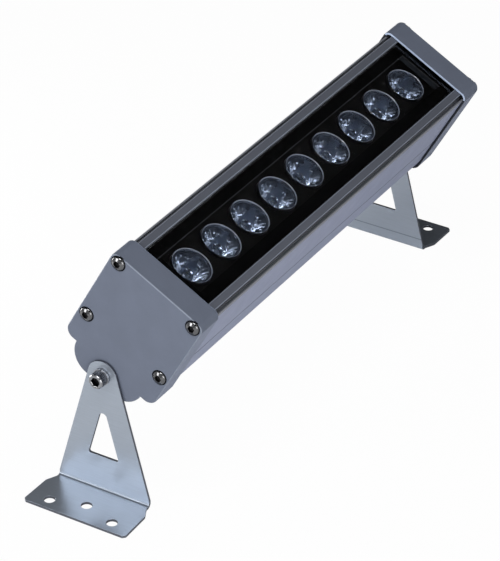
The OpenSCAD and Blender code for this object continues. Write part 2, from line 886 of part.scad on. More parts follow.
housing_extrusion();
near_end_cap();
far_end_cap();
near_cap_gasket();
far_cap_gasket();
near_cap_screws();
far_cap_screws();
front_glass();
glass_gasket();
lens_plate();
for (i = [1 : lens_count]) {
    lens(i);
    lens_holder(i);
    emitter(i);
}
emitter_board();
emitter_board_screws();
emitter_leads();
driver_board();
driver_transformer();
driver_capacitor();
driver_coil();
driver_input_terminal();
driver_output_terminal();
gland_body();
gland_face_seal();
gland_cable_seal();
gland_nut();
gland_lock_nut();
near_bracket();
far_bracket();
near_pivot_bolt();
far_pivot_bolt();
near_lock_washer();
far_lock_washer();
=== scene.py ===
# %% [markdown]
# # An outdoor wall washer light
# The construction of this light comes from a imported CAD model: every piece at its real size, in
# metres, with +X along the light and +Z up. This script gives that model its looks. It keeps the
# model's pieces where they are, makes finer ones where a machined edge or a moulded curve shows,
# and gives each piece a finish built from shader nodes.

import json
import math

import bmesh
import bpy
from mathutils import Matrix, Vector


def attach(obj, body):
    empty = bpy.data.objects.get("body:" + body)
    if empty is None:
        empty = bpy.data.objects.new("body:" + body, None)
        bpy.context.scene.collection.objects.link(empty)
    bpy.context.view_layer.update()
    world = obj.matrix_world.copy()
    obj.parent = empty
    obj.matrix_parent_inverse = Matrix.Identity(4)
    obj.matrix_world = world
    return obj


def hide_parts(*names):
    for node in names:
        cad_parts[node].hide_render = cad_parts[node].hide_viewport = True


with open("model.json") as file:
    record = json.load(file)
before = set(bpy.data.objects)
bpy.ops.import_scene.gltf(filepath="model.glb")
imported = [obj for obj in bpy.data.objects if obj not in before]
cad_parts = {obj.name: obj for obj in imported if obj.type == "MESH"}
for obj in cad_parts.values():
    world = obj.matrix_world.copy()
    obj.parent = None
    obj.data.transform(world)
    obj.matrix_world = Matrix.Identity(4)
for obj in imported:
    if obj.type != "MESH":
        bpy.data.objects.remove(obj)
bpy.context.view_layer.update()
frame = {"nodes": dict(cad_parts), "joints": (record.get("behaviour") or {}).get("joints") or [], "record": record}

# %% [markdown]
# ## The light's own axes
# The light leans on its pivot, so its length, width and depth don't lie along the frame's axes.
# Everything that belongs to the light is easier to draw upright, with the pivot axis along X at
# zero and the lit face up, and then leaned as one. The pivot comes from a joint and the lean from
# the cable entry, which lies straight above the pivot when the light is upright.

# %% Lean
MM = 0.001
pivot_height = frame["joints"][0]["pos_m"][2]
entry = next(m for m in frame["record"]["mounts"] if m["name"] == "cable_entry")
lean = math.atan2(-entry["pos_m"][1], entry["pos_m"][2] - pivot_height)
leaned = Matrix.Translation((0, 0, pivot_height)) @ Matrix.Rotation(lean, 4, "X")
upright = leaned.inverted()
upright_entry = upright @ Vector(entry["pos_m"])
print("pivot at", pivot_height, "m, lean", round(math.degrees(lean), 2), "degrees")


def upright_box(node):
    """Lowest and highest corner of a CAD node when the light stands upright."""
    points = [upright @ v.co for v in frame["nodes"][node].data.vertices]
    low = Vector([min(p[i] for p in points) for i in range(3)])
    high = Vector([max(p[i] for p in points) for i in range(3)])
    return low, high


# %% [markdown]
# ## Nodes
# Finishes and geometry trees are both built from nodes. One helper sets plain values, one adds a
# node, and one joins outputs to inputs. Each socket is named as in Blender's editor.

# %% Node helpers
def set_values(node, values):
    """Sets the inputs of a node that nothing is joined to."""
    for socket, value in values.items():
        node.inputs[socket].default_value = value


def add_node(tree, kind, values=(), **settings):
    """A new node: first its settings are made, and then the values of its inputs."""
    node = tree.nodes.new(kind)
    for setting, value in settings.items():
        setattr(node, setting, value)
    set_values(node, dict(values))
    return node


def wire(tree, *wires):
    """Joins sockets. Each wire is a node and its output, and the next node and its input."""
    for start, out, end, into in wires:
        tree.links.new(start.outputs[out], end.inputs[into])


# %% [markdown]
# ## Finishes
# A finish is one Principled shader whose colour, roughness and bump each get a little variation
# from noise. The noise reads Object coordinates in metres, so a scale of 1000 means grain of about
# a millimetre. Small helpers keep each finish down to a few lines.

# %% Finish helpers
EVEN = (1, 1, 1)


def start_finish(name, colour, roughness, metallic=0.0):
    """A new material with one shader set to plain values, and its node tree."""
    material = bpy.data.materials.new(name)
    material.use_nodes = True
    tree = material.node_tree
    shader = tree.nodes["Principled BSDF"]
    set_values(shader, {"Base Color": (*colour, 1.0), "Roughness": roughness,
                        "Metallic": metallic})
    return material, tree, shader


def noise(tree, scale, detail, stretch=EVEN):
    """A value from 0 to 1 with so many grains to the metre, which a stretch turns into streaks."""
    place = add_node(tree, "ShaderNodeTexCoord")
    mapping = add_node(tree, "ShaderNodeMapping", {"Scale": stretch})
    grains = add_node(tree, "ShaderNodeTexNoise", {"Scale": scale, "Detail": detail})
    wire(tree, (place, "Object", mapping, "Vector"), (mapping, "Vector", grains, "Vector"))
    return grains.outputs["Fac"]


def spread(tree, value, low, high):
    """Takes the middle of a noise value out to the range from low to high."""
    stretched = add_node(tree, "ShaderNodeMapRange", {"From Min": 0.3, "From Max": 0.7,
                                                      "To Min": low, "To Max": high})
    tree.links.new(value, stretched.inputs["Value"])
    return stretched.outputs["Result"]


def mottle(tree, shader, colour, amount, scale, stretch=EVEN):
    """Lets the colour drift by a share of itself, up and down."""
    darker = [c * (1 - amount) for c in colour]
    lighter = [min(1.0, c * (1 + amount)) for c in colour]
    mix = add_node(tree, "ShaderNodeMix", {"A": (*darker, 1.0), "B": (*lighter, 1.0)},
                   data_type="RGBA")
    drift = spread(tree, noise(tree, scale, 4.0, stretch), 0.0, 1.0)
    tree.links.new(drift, mix.inputs["Factor"])
    wire(tree, (mix, "Result", shader, "Base Color"))


def vary_gloss(tree, shader, low, high, scale, stretch=EVEN):
    """Lets the roughness drift from low to high."""
    value = spread(tree, noise(tree, scale, 3.0, stretch), low, high)
    tree.links.new(value, shader.inputs["Roughness"])


def emboss(tree, shader, height, scale, strength, stretch=EVEN):
    """A bump of the given height in metres from noise."""
    bump = add_node(tree, "ShaderNodeBump", {"Strength": strength, "Distance": height})
    tree.links.new(noise(tree, scale, 2.0, stretch), bump.inputs["Height"])
    wire(tree, (bump, "Normal", shader, "Normal"))


# %% [markdown]
# ### Painted aluminium
# The extrusion and the cast end caps are powder coated in a blue grey. The coat melts into a fine
# orange peel, and the castings keep a coarser skin under it, so all share one recipe with
# different grain. Paler copies of the coat on edges, rims and cap flanks are painted highlight and
# light, and darker copies on the lips, grooves, crease and screw recesses are painted shade.

# %% Painted finishes
def painted(name, colour, grain, height, shine=0.12):
    material, tree, shader = start_finish(name, colour, roughness=0.45)
    set_values(shader, {"Specular IOR Level": shine})
    mottle(tree, shader, colour, amount=0.035, scale=90)
    vary_gloss(tree, shader, low=0.40, high=0.52, scale=160)
    emboss(tree, shader, height, grain, strength=0.35)
    return material


CAST = (1500, 0.12 * MM)
HIGHLIGHT_GRAIN = (1500, 0.06 * MM)
DRAWN = (2200, 0.06 * MM)
cap_paint = painted("cap_paint", (0.156, 0.177, 0.230), *CAST, shine=0.05)
# painted light: a paler copy of the cap coat for the cap's flanks, standing in for the light on them
painted_light_flank = painted("painted_light_flank", (0.245, 0.274, 0.360), *CAST, shine=0.05)
housing_paint = painted("housing_paint", (0.335, 0.365, 0.485), *DRAWN, shine=0.03)
# painted shade: darker copies of the housing coat for the lips and for the grooves beside them
painted_shade_lip = painted("painted_shade_lip", (0.115, 0.124, 0.151), *DRAWN)
painted_shade_groove = painted("painted_shade_groove", (0.27, 0.28, 0.31), *DRAWN)
# painted shade: a darker copy of the housing coat for the crease along the side
painted_shade_crease = painted("painted_shade_crease", (0.190, 0.205, 0.270), *DRAWN)
# painted shade: a near-black copy of the cap coat for the screw recesses and the gap along the rim's flanks
painted_shade_recess = painted("painted_shade_recess", (0.030, 0.033, 0.040), *CAST)
# painted highlights: paler copies of the coat for edges and for the rim's end face beside the glass
painted_highlight_edge = painted("painted_highlight_edge", (0.25, 0.28, 0.34), *HIGHLIGHT_GRAIN)
painted_highlight_rim = painted("painted_highlight_rim", (0.42, 0.50, 0.66), *HIGHLIGHT_GRAIN)

# %% [markdown]
# ### Metals
# The brackets are satin stainless sheet, with grain drawn along the sheet. A picture of brushed
# steel could show it, but noise with one axis squeezed gives streaks that are fine at any
# distance. Screws, bolts and the gland's nickel take the same recipe with even grain.

# %% Metal finishes
def brushed(name, colour, gloss, stretch=EVEN, metallic=1.0):
    material, tree, shader = start_finish(name, colour, gloss[0], metallic)
    mottle(tree, shader, colour, amount=0.04, scale=1400, stretch=stretch)
    vary_gloss(tree, shader, *gloss, scale=1100, stretch=stretch)
    emboss(tree, shader, height=0.02 * MM, scale=1800, strength=0.25, stretch=stretch)
    return material


SATIN = (0.28, 0.36)
ALONG_SHEET = (1.0, 0.06, 1.0)
AROUND_COIL = (1.0, 1.0, 8.0)
bracket_steel = brushed("bracket_steel", (0.43, 0.478, 0.548), SATIN, ALONG_SHEET, 0.75)
# painted reflection and painted shade: a darker copy of the bracket steel for the bend and the tool line
painted_shade_and_reflection_steel = brushed("painted_shade_and_reflection_steel", (0.25, 0.285, 0.34), SATIN, ALONG_SHEET, 0.75)
cut_steel = brushed("cut_steel", (0.16, 0.17, 0.20), (0.45, 0.60))
screw_steel = brushed("screw_steel", (0.185, 0.185, 0.19), (0.12, 0.17))
# painted shade: a near-black steel for the faces inside the sockets
painted_shade_socket_steel = brushed("painted_shade_socket_steel", (0.03, 0.03, 0.032), (0.30, 0.45))
# painted shade: a darker steel for the knurled band of the bolt heads
painted_shade_knurl_steel = brushed("painted_shade_knurl_steel", (0.12, 0.12, 0.13), (0.20, 0.30))
bolt_steel = brushed("bolt_steel", (0.36, 0.365, 0.38), (0.18, 0.26))
washer_steel = brushed("washer_steel", (0.42, 0.43, 0.46), (0.35, 0.50))
nickel = brushed("nickel", (0.66, 0.65, 0.62), (0.14, 0.24))
copper_wire = brushed("copper_wire", (0.75, 0.36, 0.16), (0.20, 0.35), AROUND_COIL)

# %% [markdown]
# ### Plastics, rubber and coatings
# Moulded and coated parts differ only in colour, gloss and grain, so one recipe makes them all.

# %% Moulded finishes
def moulded(name, colour, gloss, grain=1500, height=0.03 * MM, shine=0.5):
    material, tree, shader = start_finish(name, colour, gloss)
    set_values(shader, {"Specular IOR Level": shine})
    mottle(tree, shader, colour, amount=0.08, scale=260)
    vary_gloss(tree, shader, gloss * 0.9, min(1.0, gloss * 1.15), scale=400)
    emboss(tree, shader, height, grain, strength=0.3)
    return material


plate_black = moulded("plate_black", (0.0055, 0.005, 0.005), 0.45, shine=0.12)
holder_black = moulded("holder_black", (0.008, 0.008, 0.010), 0.30)
# painted highlight: a pale grey for the inside of the cups' rims, standing in for the light they catch
painted_highlight_holder_rim = moulded("painted_highlight_holder_rim", (0.36, 0.40, 0.50), 0.22, shine=0.9)
print_black = moulded("print_black", (0.0012, 0.0012, 0.0016), 0.6, shine=0.05)
# painted highlight and painted reflection: grey strips along the print's edge and at its far end
painted_highlight_print_line = moulded("painted_highlight_print_line", (0.042, 0.045, 0.050), 0.5, shine=0.1)
painted_reflection_band = moulded("painted_reflection_band", (0.020, 0.024, 0.030), 0.5, shine=0.1)
rubber = moulded("rubber", (0.016, 0.016, 0.017), 0.72, 900, 0.08 * MM)
phosphor = moulded("phosphor", (0.62, 0.56, 0.30), 0.35)
board_white = moulded("board_white", (0.78, 0.79, 0.76), 0.45)
board_green = moulded("board_green", (0.02, 0.14, 0.05), 0.38)
terminal_green = moulded("terminal_green", (0.03, 0.24, 0.08), 0.42)
ferrite = moulded("ferrite", (0.035, 0.035, 0.038), 0.65, 700, 0.1 * MM)
sleeve_blue = moulded("sleeve_blue", (0.02, 0.04, 0.10), 0.32)
lead_red = moulded("lead_red", (0.35, 0.02, 0.02), 0.48)

# %% [markdown]
# ### Glass and clear plastic
# The front glass and the lenses are true clear solids: light bends into them, and the cone of each
# lens throws it back by total reflection, which is what gives the lenses their broken glitter.

# %% Clear finishes
def clear(name, colour, bend, haze, through=1.0):
    material, tree, shader = start_finish(name, colour, haze)
    set_values(shader, {"IOR": bend, "Transmission Weight": through})
    vary_gloss(tree, shader, 0.0, haze, scale=120)
    return material


front_clear = clear("front_clear", (0.94, 0.95, 0.97), bend=1.42, haze=0.02)
lens_clear = clear("lens_clear", (0.42, 0.50, 0.66), bend=1.49, haze=0.05, through=0.92)
print("finishes:", len(bpy.data.materials))

# %% [markdown]
# ## Making pieces
# A copy of a CAD piece arrives as loose triangles. Its doubles are merged and its flat faces
# joined up, and then a narrow bevel on its outer edges catches the light as a real edge does.

# %% Piece helpers
JOIN = 0.001 * MM
FLAT = math.radians(0.3)
SHARP = math.radians(30)


def move(shape, matrix):
    bmesh.ops.transform(shape, matrix=matrix, verts=shape.verts)


def mesh_copy(node, place=upright):
    """The faces of a CAD node, joined up, moved by a matrix."""
    shape = bmesh.new()
    shape.from_mesh(frame["nodes"][node].data)
    bmesh.ops.remove_doubles(shape, verts=shape.verts, dist=JOIN)
    move(shape, place)
    bmesh.ops.dissolve_limit(shape, angle_limit=FLAT, verts=shape.verts, edges=shape.edges)
    return shape


def soften(shape, width):
    """Bevels the outer edges of a shape."""
    edges = [e for e in shape.edges if e.is_manifold and e.calc_face_angle_signed() > SHARP]
    bmesh.ops.bevel(shape, geom=edges, offset=width, offset_type="OFFSET", segments=2,
                    profile=0.5, affect="EDGES", clamp_overlap=False)


def mesh_of(shape, name):
    """A shape as a plain mesh."""
    mesh = bpy.data.meshes.new(name)
    shape.to_mesh(mesh)
    shape.free()
    return mesh


def add_object(name, data):
    """A new object in the scene."""
    thing = bpy.data.objects.new(name, data)
    bpy.context.scene.collection.objects.link(thing)
    return thing


def finish_piece(mesh, name, coats, nodes, body="light", place=leaned, crease=38):
    """Turns a mesh into a finished piece that rides on a body and stands for CAD nodes."""
    mesh.transform(place)
    for coat in coats:
        mesh.materials.append(coat)
    mesh.shade_smooth()
    mesh.set_sharp_from_angle(angle=math.radians(crease))
    piece = add_object(name, mesh)
    even = piece.modifiers.new("even_shading", "WEIGHTED_NORMAL")
    even.keep_sharp = True
    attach(piece, body)
    if nodes:
        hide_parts(*nodes)
    print(name, "has", len(mesh.polygons), "faces")


def soft_copy(node, name, coat, width):
    """A CAD piece of the light with its outer edges softened all over."""
    shape = mesh_copy(node)
    soften(shape, width)
    finish_piece(mesh_of(shape, name), name, [coat], [node])


def coat_faces(shape, coats, choose):
    """Gives each face of a shape the coat that a function chooses for it."""
    for face in shape.faces:
        face.material_index = coats.index(choose(face))


# %% [markdown]
# ## Shapes that turn about an axis
# Screws, bolts, nuts and lenses are stacks of rings. Each ring has a radius and a height. The
# radius is a number for a circle, or follows the angle: a short formula gives a hexagon, and a
# small wave a knurl. Joining ring to ring makes the whole shape, and each end closes on a centre
# point. A ring-shaped solid has no ends: its last ring joins the first.

# %% Ring stacks
def hexagon(apothem):
    """A hexagon whose flats are twice the apothem apart."""
    sixth = math.pi / 3
    return lambda angle: apothem / math.cos((angle % sixth) - sixth / 2)


def knurl(radius, depth, teeth):
    return lambda angle: radius - depth * (0.5 + 0.5 * math.cos(teeth * angle))


def lay_rings(shape, rings, count, twist=0.0):
    """The vertices of pairs of radius and height, every second ring turned on by a share."""
    layers = []
    for level, (radius, height) in enumerate(rings):
        layer = []
        for i in range(count):
            angle = 2 * math.pi * (i + twist * (level % 2)) / count
            r = radius(angle) if callable(radius) else radius
            layer.append(shape.verts.new((r * math.cos(angle), r * math.sin(angle), height)))
        layers.append(layer)
    return layers


def join_rings(shape, lower, upper):
    for i in range(len(lower)):
        j = (i + 1) % len(lower)
        shape.faces.new((lower[i], lower[j], upper[j], upper[i]))


def stack_rings(rings, count, twist=0.0):
    """A closed shape about +Z."""
    shape = bmesh.new()
    layers = lay_rings(shape, rings, count, twist)
    for lower, upper in zip(layers, layers[1:]):
        join_rings(shape, lower, upper)
    first = shape.verts.new((0, 0, rings[0][1]))
    last = shape.verts.new((0, 0, rings[-1][1]))
    for i in range(count):
        j = (i + 1) % count
        shape.faces.new((first, layers[0][j], layers[0][i]))
        shape.faces.new((last, layers[-1][i], layers[-1][j]))
    return shape


def stack_open_rings(rings, count):
    """A ring-shaped solid about +Z."""
    shape = bmesh.new()
    layers = lay_rings(shape, rings, count)
    for lower, upper in zip(layers, layers[1:] + layers[:1]):
        join_rings(shape, lower, upper)
    return shape


along_x = Matrix.Rotation(math.pi / 2, 4, "Y")

# %% [markdown]
# ## Geometry Nodes
# What repeats is grown by a node tree from one prototype, so a change of pitch or count is one
# number. A tree gets its inputs by name here, and by identifier on the modifier. The result is
# turned into a plain mesh, and the modifier goes.

# %% Node tree helpers
def new_tree(name, inputs):
    """An empty geometry tree with a mesh in, named inputs and a mesh out."""
    tree = bpy.data.node_groups.new(name, "GeometryNodeTree")
    tree.interface.new_socket("Geometry", in_out="INPUT", socket_type="NodeSocketGeometry")
    for label, kind in inputs.items():
        tree.interface.new_socket(label, in_out="INPUT", socket_type="NodeSocket" + kind)
    tree.interface.new_socket("Geometry", in_out="OUTPUT", socket_type="NodeSocketGeometry")
    return tree, tree.nodes.new("NodeGroupInput"), tree.nodes.new("NodeGroupOutput")


def pipe(tree, *nodes):
    """Passes the geometry on from node to node, always by the first socket."""
    wire(tree, *((node, 0, following, 0) for node, following in zip(nodes, nodes[1:])))


def set_finish(tree, inputs, label, selection=None):
    """A node that gives a finish from the tree's inputs to all faces, or to the selected ones."""
    node = add_node(tree, "GeometryNodeSetMaterial")
    wire(tree, (inputs, label, node, "Material"))
    if selection is not None:
        tree.links.new(selection, node.inputs["Selection"])
    return node


def marked(tree, mark):
    """Selects the faces that carry a mark."""
    node = add_node(tree, "GeometryNodeInputNamedAttribute", {"Name": mark}, data_type="INT")
    return node.outputs["Attribute"]


def grow(name, shape, tree, values):
    """The plain mesh that a tree makes of a prototype."""
    holder = add_object(name + "_prototype", mesh_of(shape, name + "_prototype"))
    modifier = holder.modifiers.new("grow", "NODES")
    modifier.node_group = tree
    for item in tree.interface.items_tree:
        if item.in_out == "INPUT" and item.name in values:
            modifier[item.identifier] = values[item.name]
    depsgraph = bpy.context.evaluated_depsgraph_get()
    grown = bpy.data.meshes.new_from_object(holder.evaluated_get(depsgraph), depsgraph=depsgraph)
    holder.modifiers.remove(modifier)
    bpy.data.objects.remove(holder)
    return grown


# %% [markdown]
# ## The housing
# An extrusion is one section pushed through a die, so it is made the same way: the outline of the
# section is read off the end of the CAD piece, its corners get the small radius that a die leaves,
# and the filled outline is pulled along the light.

# %% Section of the housing
housing_low, housing_high = upright_box("housing_extrusion")


def end_section(node, end):
    """The outline of a CAD piece's end face as loose edges, across on X and up on Y."""
    source = mesh_copy(node)
    outline = bmesh.new()
    corners = {}

    def at_end(face):
        return abs(face.calc_center_median().x - end) < JOIN

    def corner(v):
        key = (round(v.co.y, 6), round(v.co.z, 6))
        if key not in corners:
            corners[key] = outline.verts.new((v.co.y, v.co.z, 0))
        return corners[key]

    for face in source.faces:
        if face.normal.x > 0.99 and at_end(face):
            for edge in face.edges:
                if sum(at_end(f) for f in edge.link_faces) == 1:
                    outline.edges.new([corner(v) for v in edge.verts])
    source.free()
    return outline


section = end_section("housing_extrusion", housing_high.x)
print("section has", len(section.edges), "edges")

# %% [markdown]
# ### A tree that pulls a section
# The tree turns the loose outline into a curve, rounds its corners, fills it and pulls it out by
# one length. An extruded mesh has no face at its start, so a flipped copy of the section closes it.

# %% Tree that pulls a section along the light
UP_AND_ALONG = (math.pi / 2, 0, math.pi / 2)
pull, pull_in, pull_out = new_tree("pull_section", {
    "Length": "Float", "Corner Radius": "Float", "Groove Height": "Float", "Lip Height": "Float",
    "Side Finish": "Material", "Groove Shade Finish": "Material", "Lip Shade Finish": "Material",
    "Edge Highlight Finish": "Material", "Crease Height": "Float", "Crease Shade Finish": "Material"})
to_curve = add_node(pull, "GeometryNodeMeshToCurve")
fillet = add_node(pull, "GeometryNodeFilletCurve", {"Count": 3, "Limit Radius": True}, mode="POLY")
fill = add_node(pull, "GeometryNodeFillCurve", mode="NGONS")
extrude = add_node(pull, "GeometryNodeExtrudeMesh", {"Individual": False})
flip = add_node(pull, "GeometryNodeFlipFaces")
join = add_node(pull, "GeometryNodeJoinGeometry")
weld = add_node(pull, "GeometryNodeMergeByDistance", {"Distance": JOIN})
centre = add_node(pull, "GeometryNodeTransform", {"Rotation": UP_AND_ALONG})
half_back = add_node(pull, "ShaderNodeMath", {1: -0.5}, operation="MULTIPLY")
shift = add_node(pull, "ShaderNodeCombineXYZ")
reach = add_node(pull, "ShaderNodeCombineXYZ")
pipe(pull, pull_in, to_curve, fillet, fill, flip, join)
pipe(pull, fill, extrude, join)
pipe(pull, join, weld, centre)
wire(pull, (pull_in, "Corner Radius", fillet, "Radius"),
     (pull_in, "Length", reach, "Z"), (reach, "Vector", extrude, "Offset"),
     (pull_in, "Length", half_back, 0), (half_back, "Value", shift, "X"),
     (shift, "Vector", centre, "Translation"))

# %% [markdown]
# ### Coats by height
# The whole extrusion has one coat, and the heights of the faces choose copies of it that paint
# light and shade on it: the sides plain, the crease along them darker as painted shade, the grooves
# beside the lips and the lips darker as painted shade, and the lips' slanted edges paler as
# painted highlight. The heights are inputs, so the tree fits any such profile.

# %% Coats of the pulled section
place = add_node(pull, "GeometryNodeInputPosition")
place_parts = add_node(pull, "ShaderNodeSeparateXYZ")
normal = add_node(pull, "GeometryNodeInputNormal")
normal_parts = add_node(pull, "ShaderNodeSeparateXYZ")
wire(pull, (place, "Position", place_parts, "Vector"), (normal, "Normal", normal_parts, "Vector"))


def compare(operation, value, **values):
    """A comparison whose first value is given."""
    node = add_node(pull, "FunctionNodeCompare", values, data_type="FLOAT", operation=operation)
    pull.links.new(value, node.inputs["A"])
    return node


def above_height(label):
    """True for what lies above the height that the named input gives."""
    above = compare("GREATER_THAN", place_parts.outputs["Z"])
    wire(pull, (pull_in, label, above, "B"))
    return above.outputs["Result"]


# the lips' slanted edges: painted highlight
slanted = compare("EQUAL", normal_parts.outputs["Z"], B=0.7, Epsilon=0.28)
on_edge = add_node(pull, "FunctionNodeBooleanMath", operation="AND")
wire(pull, (slanted, "Result", on_edge, 0))
pull.links.new(above_height("Lip Height"), on_edge.inputs[1])
# the crease along the side: painted shade
in_crease = compare("EQUAL", place_parts.outputs["Z"], Epsilon=0.7 * MM)
wire(pull, (pull_in, "Crease Height", in_crease, "B"))
pipe(pull, centre, add_node(pull, "GeometryNodeRealizeInstances"),
     set_finish(pull, pull_in, "Side Finish"),
     set_finish(pull, pull_in, "Groove Shade Finish", above_height("Groove Height")),
     set_finish(pull, pull_in, "Lip Shade Finish", above_height("Lip Height")),
     set_finish(pull, pull_in, "Edge Highlight Finish", on_edge.outputs["Boolean"]),
     set_finish(pull, pull_in, "Crease Shade Finish", in_crease.outputs["Result"]), pull_out)
print("pull_section has", len(pull.nodes), "nodes")

# %% [markdown]
# ### Pulling it
# The heights where one coat ends and the next starts are taken from the glass, because the lips
# stand beside it and the grooves reach a little below it.

# %% Pull the housing
GROOVE_BELOW_GLASS = 0.4 * MM
LIP_BELOW_GLASS_TOP = 1.5 * MM
glass_low, glass_high = upright_box("front_glass")
housing_mesh = grow("housing", section, pull, {
    "Length": housing_high.x - housing_low.x, "Corner Radius": 0.5 * MM,
    "Groove Height": glass_low.z - GROOVE_BELOW_GLASS,
    "Lip Height": glass_high.z - LIP_BELOW_GLASS_TOP, "Crease Height": 29.5 * MM,
    "Side Finish": housing_paint, "Groove Shade Finish": painted_shade_groove, "Lip Shade Finish": painted_shade_lip,
    "Edge Highlight Finish": painted_highlight_edge, "Crease Shade Finish": painted_shade_crease})
finish_piece(housing_mesh, "housing", [], ["housing_extrusion"])

# %% [markdown]
# ## Rounding the rim of a flat face
# A bevel goes wrong on a big flat face with holes in it, because the face is cut into long thin
# polygons. So a flat face is taken out, the loops left at its rim are rolled over as a quarter
# round, a few rings each, and a new face with the same holes is filled in between them.

# %% Round the rims of a flat face
RIM_STEP = 1.2 * MM
TIGHTEST_MITRE = 0.3


def face_outwards(shape):
    """Makes all faces look out of the solid: a solid that looks inwards has a negative volume."""
    bmesh.ops.recalc_face_normals(shape, faces=shape.faces)
    if shape.calc_volume(signed=True) < 0:
        bmesh.ops.reverse_faces(shape, faces=shape.faces)


def rim_of(shape, faces):
    """Edges between the given faces and the faces that turn away from them."""
    return [e for e in shape.edges if sum(f in faces for f in e.link_faces) == 1]


def divide(shape, edge, longest):
    """Cuts an edge into pieces no longer than the given length."""
    start, far = edge.verts
    for parts_left in range(math.ceil(edge.calc_length() / longest), 1, -1):
        start = bmesh.utils.edge_split(edge, start, 1 / parts_left)[1]
        edge = shape.edges.get((start, far))


def roll_over(shape, v, inward, normal, radius, steps):
    """Sinks a rim vertex by the radius and lays a quarter round of vertices from it inwards."""
    start = v.co.copy()
    ring = [v]
    for k in range(1, steps + 1):
        t = k / steps * math.pi / 2
        ring.append(shape.verts.new(start + inward * radius * (1 - math.cos(t))
                                    + normal * radius * (math.sin(t) - 1)))
    v.co = start - normal * radius
    return ring


def round_rims(shape, normal, level, radius_at, steps=4):
    """Rolls over every rim of the flat face that looks along normal at the given level."""
    faces = {f for f in shape.faces if f.normal.dot(normal) > 0.999
             and abs(f.calc_center_median().dot(normal) - level) < JOIN}
    for edge in rim_of(shape, faces):
        divide(shape, edge, RIM_STEP)
    turns = {}
    links = []
    for edge in rim_of(shape, faces):
        flank = next(f for f in edge.link_faces if f not in faces)
        flat = (flank.normal - normal * flank.normal.dot(normal)).normalized()
        for v in edge.verts:
            turns.setdefault(v, []).append(flat)
        links.append(tuple(edge.verts))
    bmesh.ops.delete(shape, geom=list(faces), context="FACES")
    rings = {}
    for v, flats in turns.items():
        inward = -sum(flats, Vector()) / max(TIGHTEST_MITRE, 1 + flats[0].dot(flats[-1]))
        rings[v] = roll_over(shape, v, inward, normal, radius_at(v.co), steps)
    top = []
    for a, b in links:
        for k in range(steps):
            shape.faces.new((rings[a][k], rings[b][k], rings[b][k + 1], rings[a][k + 1]))
        top.append(shape.edges.get((rings[a][steps], rings[b][steps])))
    bmesh.ops.triangle_fill(shape, use_beauty=True, use_dissolve=False, edges=top, normal=normal)
    face_outwards(shape)
    return len(top)


# %% [markdown]
# ## The end caps
# A die casting has no sharp outer edge. The edge round the cap's face gets a broad round, and the
# screw holes and the mouth of the rim narrow ones.

# %% Rounds of the end caps
cap_high = upright_box("far_end_cap")[1]
cap_face = cap_high.x
screw_low, screw_high = upright_box("far_cap_screws")
HEAD_R = 3.8 * MM
SCREW_BORE = 4.3 * MM
PIVOT_HOLE = 5 * MM
ENTRY_HOLE = 9 * MM
FACE_ROUND = 0.8 * MM
HOLE_ROUND = 0.06 * MM
MOUTH_ROUND = 0.3 * MM
screw_y = screw_high.y - HEAD_R
screw_z = (screw_low.z + HEAD_R, screw_high.z - HEAD_R)


def off_screw(point):
    """Distance of a point from the nearest cap screw's axis."""
    return min(math.hypot(abs(point.y) - screw_y, point.z - z) for z in screw_z)


def cap_rounding(point):
    """A broad round on the outline, a narrow one where a hole opens in the face."""
    in_hole = (math.hypot(point.y, point.z) < PIVOT_HOLE
               or math.hypot(point.y, point.z - upright_entry.z) < ENTRY_HOLE)
    if in_hole or off_screw(point) < SCREW_BORE + 0.15 * MM:
        return HOLE_ROUND
    return min(FACE_ROUND, off_screw(point) - SCREW_BORE - 0.08 * MM)


# %% [markdown]
# ### Coats of a cap
# Light and shade are painted on the cap by where its faces lie. The screw recesses get a near-black
# coat as painted shade. The rim's end face gets a pale coat as painted highlight beside the glass,
# and the near-black one as painted shade along the flanks. The rounds get a paler coat as painted
# highlight, and the flanks a paler coat as painted light.

# %% End caps
ENDS = (("near", -1), ("far", 1))
CAP_COATS = [cap_paint, painted_shade_recess, painted_highlight_rim, painted_highlight_edge, painted_light_flank]


def cap_coat(face, mouth):
    """The coat that belongs on a face of a cap whose rim ends at the mouth."""
    centre = face.calc_center_median()
    depth = cap_face - abs(centre.x)
    # the screw recesses: painted shade
    if off_screw(centre) < SCREW_BORE + 0.01 * MM and 0.1 * MM < depth < 1.0 * MM:
        return painted_shade_recess
    # the rim's end face: painted highlight beside the glass, painted shade along the flanks
    if abs(abs(centre.x) - mouth) < MOUTH_ROUND + 0.05 * MM:
        beside_glass = centre.z > cap_high.z - 3 * MM
        return painted_highlight_rim if beside_glass else painted_shade_recess
    # the rounds: painted highlight
    if 0.3 < abs(face.normal.x) < 0.93 and depth < 0.5 * MM:
        return painted_highlight_edge
    # the flanks: painted light
    is_flank = abs(face.normal.x) < 0.5 and face.normal.z < 0.2
    return painted_light_flank if is_flank else cap_paint


for end, side in ENDS:
    name = end + "_cap"
    shape = mesh_copy(end + "_end_cap")
    outwards = Vector((side, 0, 0))
    mouth = min(abs(v.co.x) for v in shape.verts)
    rims = round_rims(shape, outwards, cap_face, cap_rounding)
    round_rims(shape, -outwards, -mouth, lambda point: MOUTH_ROUND, 2)
    print(name, "rolled over", rims, "rim edges")
    coat_faces(shape, CAP_COATS, lambda face: cap_coat(face, mouth))
    finish_piece(mesh_of(shape, name), name, CAP_COATS, [end + "_end_cap"])

# %% [markdown]
# ## The brackets
# Sheet that was cut by a laser keeps its thickness and has only a hair of radius at its edges.
# The inside of the bend mirrors a darker part of the room, and that dark reflection is painted on
# as a darker steel. The faint line that the press brake's tool left across the leg's inner face
# gets the same steel as painted shade.

# %% Brackets
SHEET = 1.6 * MM
TOOL_LINE = (7.2 * MM, 7.9 * MM)
BRACKET_COATS = [bracket_steel, cut_steel, painted_shade_and_reflection_steel]


